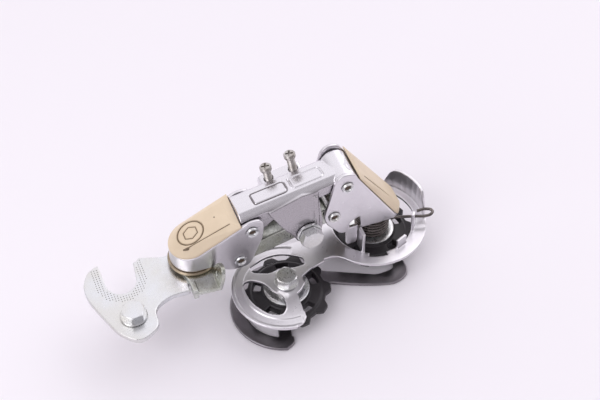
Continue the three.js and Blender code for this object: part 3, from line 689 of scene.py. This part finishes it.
def make_links():
    link = node_copy("outer_link")
    pin_at = PINS["lower_outer_pin"]
    barrel = cut(
        disc(pin_at, -LINK_HALF + 0.2, LINK_HALF, 6.4, 0.6, "Y"),
        disc(pin_at, -20, 20, PIN_R + GAP, 0, "Y"),
    )
    rib = tube([(-34.4, -8.9, 60), (-34.6, -10.5, 54), (-34.8, -12, 48), (-35, WEB_Y, 43)], 1.5)
    join(link, barrel, rib)
    cut(link, disc(pin_at, -20, 20, PIN_R + GAP, 0, "Y"))
    frames = ((-62.6, -46, -4, 4), (-43.4, -28, -4, 4))
    cut(link, *[plain_frame(*frame_box, 0.5) for frame_box in frames])
    inlay(plain_frame(*frames[0], 0.24, 0.25), "outer_link", "frame", "frame_shade")
    # The outer link's material paints shade on its front face.
    finished(melt(link, 0.26, 4, 0.3), "outer_link", material="link_painted_front_shade")
    finished(melt(node_copy("inner_link"), 0.3, 5, 0.3), "inner_link")

    ring = washer(CLAMP, WEB_Y - GAP - 1.6, WEB_Y - GAP, 6.2, 2.8, 0.35, "Y")
    finished(ring, "cable_clamp_washer", sharp=28)
    face = WEB_Y - 2 * GAP - 1.6
    bolt = join(
        disc(CLAMP, face - 1, WEB_Y + 3.2, 2.5, 0.4, "Y"),
        hexagon(CLAMP, face, face - 4, BOLT_ACROSS, axis="Y", turn=12),
    )
    finished(bolt, "cable_clamp_bolt", sharp=28)

    crest, root, pitch, turns = 2, 1.72, 0.8, 21
    for node, head in SCREW_HEADS.items():
        profile = [(0, -18), (1.4, -18), (crest, -17.2)]
        for i in range(turns):
            z = -17 + i * pitch
            profile += [(crest, z), (root, z + pitch * 0.35)]
            profile += [(root, z + pitch * 0.5), (crest, z + pitch * 0.85)]
        profile += [(crest, 0), (2.6, 0), (2.9, 0.4), (2.9, 1.9), (2.3, 2.6), (0, 2.6)]
        screw = lathe(profile, (0, 0), steps=40)
        for wide, long in ((0.45, 1.9), (1.9, 0.45)):
            cut(screw, prism([(-wide, -long), (wide, -long), (wide, long), (-wide, long)], 1.3, 4))
        stand = SCREW_AXIS.to_track_quat("Z", "X").to_matrix().to_4x4()
        move(screw, Matrix.Translation(head) @ stand)
        finished(screw, node, sharp=35, material="screw_steel")

    coil = []
    turns, radius, at = 6, 2.95, PINS["upper_inner_pin"]
    for i in range(turns * 12 + 1):
        x, z = polar(at, radius, 30 * i)
        coil.append((x, -5.5 + 11 * i / (turns * 12), z))
    finished(tube(coil, 0.55, sides=3), "return_spring")


# ---- cage ---------------------------------------------------------------------------------
RING_CENTRE, RIM_INNER_R = (-55.5, -22), 18
SUNK = 0.45


def arc_pocket(centre, outer, inner, start, end):
    """A shallow channel between two radii, with round ends."""
    points = arc(centre, outer, start, end, 4) + arc(centre, inner, end, start, 4)
    return prism(points, PLATE_TOP - SUNK, PLATE_TOP + 3)


# Outlines of the ring's two windows, as (x, y, corner reach).
UPPER_WINDOW = [
    (-67.2, -5.4, 2), (-58, -2.2, 5), (-49.6, -2.8, 6), (-40.4, -8.8, 3), (-40.8, -13.4, 2),
    (-46.8, -13.4, 1.5), (-50, -12.4), (-53.4, -11.8), (-57.2, -12.4), (-60, -12.4, 1), (-67, -9.4, 2),
]
LOWER_WINDOW = [
    (-74, -13.8, 2.5), (-69.2, -13.2, 2), (-64.4, -16.8, 2), (-61.6, -22.6), (-57.4, -27.8, 3),
    (-58.4, -34.6, 3), (-62, -38.4, 3.5), (-68, -35.4, 4), (-73.8, -26, 6),
]


def make_cage_plates():
    plate = node_copy("outer_cage_plate")
    # The ring's windows have round corners: the ring is filled, then both are cut again.
    patch = disc(RING_CENTRE, 15, PLATE_TOP, RIM_INNER_R + 0.5, steps=72)
    open_side = [
        (-56, -50), (-51.6, -38), (-50.6, -27.4), (-45, -24), (-45.6, -19.6), (-30, -12), (-30, -50),
    ]
    cut(patch, prism(open_side, 10, 20))
    join(plate, patch)
    cut(plate, *[prism(rounded(window), 10, 20) for window in (UPPER_WINDOW, LOWER_WINDOW)])
    cut(plate, disc(TENSION, 10, 20, 2.8))
    cut(plate, arc_pocket(RING_CENTRE, 23.8, 19.6, 60, 276))
    finished(melt(plate, 0.26, 4, 0.35), "outer_cage_plate")
    inner = node_copy("inner_cage_plate")
    end, end_r = (-62.6, -41.4), 5.5
    corner = cut(prism([(end[0], -52), (-50, -52), (-50, end[1]), end], -3, 5), disc(end, -4, 6, end_r))
    finished(melt(cut(inner, corner), 0.3, 6, 0.3), "inner_cage_plate")


def pulley(centre, phase):
    """A toothed disc with a raised middle and five windows, turned to phase in degrees."""
    teeth, per_tooth, root_r, tooth_h = 10, 14, 19.2, 2.6
    rim = []
    for i in range(teeth * per_tooth):
        wave = 0.5 + 0.85 * math.cos(2 * math.pi * i / per_tooth)
        radius = root_r + tooth_h * min(1, max(0, wave))
        rim.append(polar(centre, radius, phase + 360 * i / (teeth * per_tooth)))
    body = join(
        prism(rim, PULLEY_Z - 1.3, PULLEY_Z + 1.3),
        disc(centre, PULLEY_Z - 2.2, PULLEY_Z + 2.2, 17.6, 0.7, steps=72),
        disc(centre, PULLEY_Z - 3.6, PULLEY_Z + 3.6, 11.6, 0.5, steps=72),
    )
    cut(body, disc(centre, 0, 20, PULLEY_BORE_R))
    for i in range(5):
        middle = phase + 20 + 72 * i
        window = arc(centre, 16.4, middle - 12, middle + 12) + arc(centre, 12.6, middle + 12, middle - 12)
        cut(body, prism(window, 0, 20))
    return melt(body, 0.3, 4, 0.3)


def make_pulleys():
    for name, centre, phase, bore, top in (
        ("guide", CAGE_PIVOT, -13, SHAFT_R + GAP, 13),
        ("tension", TENSION, -13.5, 2.5 + GAP, 14.7),
    ):
        finished(pulley(centre, phase), name + "_pulley")
        finished(washer(centre, 1.8, top, PULLEY_BORE_R - GAP, bore, 0.35), name + "_sleeve", sharp=35)
        for side, sign in (("outer", 1), ("inner", -1)):
            low, high = PULLEY_Z + sign * 3.9, PULLEY_Z + sign * 4.6
            mid = (low + high) / 2
            profile = [(6.3, low), (8, low), (9.4, mid), (10.6, low), (11.2, low + sign * 0.15)]
            profile += [(11.2, high - sign * 0.15), (10.8, high), (9.4, high - sign * 0.1)]
            profile += [(8, mid), (6.3, mid)]
            cap = lathe(profile, centre, steps=72)
            finished(cap, f"{name}_dust_cap_{side}", sharp=40)


def make_cage_hardware():
    shaft = [(0, 0.1), (3.6, 0.1), (SHAFT_R, 0.5), (SHAFT_R, 34.6), (3.6, 35)]
    shaft += [(3.2, 35), (3.2, 35.4), (2.9, 35.6), (0, 35.6)]
    finished(lathe(shaft, CAGE_PIVOT), "cage_pivot_shaft", sharp=35)
    circlip = washer(CAGE_PIVOT, 33.6, 34.5, 5.5, SHAFT_R + GAP, 0.15)
    mouth = prism([(3, -1.6), (7, -1.6), (7, 1.6), (3, 1.6)], 30, 40)
    finished(cut(circlip, mouth), "cage_pivot_circlip", sharp=30)
    spacer_at = polar(CAGE_PIVOT, 24.4, 151)
    spacer = [(0, 0.1), (1.4, 0.1), (1.4, 1.8), (2.1, 1.8), (2.1, 14.7), (1.4, 14.7), (1.4, 16.8)]
    spacer += [(1.2, 17.2), (0.6, 17.4), (0, 17.4)]
    finished(lathe(spacer, spacer_at, steps=32), "cage_spacer", sharp=40)
    bolt = join(
        disc(TENSION, 0.2, 18, 2.5, 0.3),
        washer(TENSION, 16.8, 17.8, 5.9, 1, 0.3),
        hexagon(TENSION, 17.4, 21.9, 9.6, turn=20),
    )
    finished(bolt, "tension_pulley_bolt", sharp=28)

    coil_r, wire_r, turns, low, high, start = 7.9, 0.76, 6.17, 14.6, 27, 197
    coil = []
    steps = 74
    for i in range(steps + 1):
        x, y = polar(CAGE_PIVOT, coil_r, start + 360 * turns * i / steps)
        coil.append((x, y, low + (high - low) * i / steps))
    finger_loop = [
        (3.6, -8.6, 27), (9, -9.4, 26.4), (13.2, -8.7, 24.2), (17.6, -8.1, 21.9), (20.8, -9.2, 21.9),
        (24.2, -10.3, 21.9), (27.8, -10.2, 21.9), (29.2, -8.4, 21.9), (27, -6.4, 21.9), (22, -5.9, 21.9),
    ]
    finished(tube(coil + finger_loop, wire_r, sides=4), "cage_spring")


make_hanger()
make_caps()
make_knuckles()
make_links()
make_cage_plates()
make_pulleys()
make_cage_hardware()


# ---- floor and light --------------------------------------------------------------------
DOME, KEY_WATTS, FILL_WATTS = 1.06, 5.8, 3.2
BRIGHT_SIDE = Vector((0.1, 0.8, 0.6)).normalized()


def make_floor():
    bpy.ops.mesh.primitive_plane_add(size=6, location=(0, 0, -0.0002))
    floor = bpy.context.object
    floor.name = "floor"
    material, tree, shader = new_material("floor")
    shader.inputs["Base Color"].default_value = (0.93, 0.90, 0.94, 1)
    shader.inputs["Roughness"].default_value = 0.7
    floor.data.materials.append(material)


def area_light(name, location, target, size, watts, colour=(1, 1, 1)):
    data = bpy.data.lights.new(name, "AREA")
    data.shape = "RECTANGLE"
    data.size, data.size_y = size
    data.energy = watts
    data.color = colour
    light = bpy.data.objects.new(name, data)
    light.location = location
    light.rotation_mode = "QUATERNION"
    light.rotation_quaternion = (Vector(target) - Vector(location)).to_track_quat("-Z", "Y")
    bpy.context.scene.collection.objects.link(light)


def make_light():
    """A dome that is bright behind the object and dim behind the camera, with two soft lamps."""
    world = bpy.data.worlds.new("studio")
    bpy.context.scene.world = world
    world.use_nodes = True
    tree = world.node_tree
    coords = tree.nodes.new("ShaderNodeTexCoord")
    facing = tree.nodes.new("ShaderNodeVectorMath")
    facing.operation = "DOT_PRODUCT"
    facing.inputs[1].default_value = BRIGHT_SIDE
    tree.links.new(coords.outputs["Generated"], facing.inputs[0])
    share = tree.nodes.new("ShaderNodeMapRange")
    share.inputs["From Min"].default_value = -1
    tree.links.new(facing.outputs["Value"], share.inputs["Value"])
    dome = ramp(tree, share.outputs["Result"], [
        (0.0, (0.30, 0.285, 0.305)),
        (0.5, (0.44, 0.42, 0.445)),
        (0.68, (0.60, 0.58, 0.61)),
        (0.9, (0.98, 0.955, 1.0)),
        (1.0, (1.04, 1.01, 1.06)),
    ])
    background = tree.nodes["Background"]
    tree.links.new(dome, background.inputs["Color"])
    background.inputs["Strength"].default_value = DOME
    area_light("key", (-0.95, -0.4, 0.9), (0, 0, 0), (0.9, 0.9), KEY_WATTS, (1.0, 0.975, 1.01))
    area_light("fill", (0.9, 0.35, 0.8), (0, 0, 0), (1.2, 1.2), FILL_WATTS, (1.0, 0.975, 1.01))


make_floor()
make_light()
bpy.context.scene.view_settings.view_transform = "Standard"

bpy.context.view_layer.update()
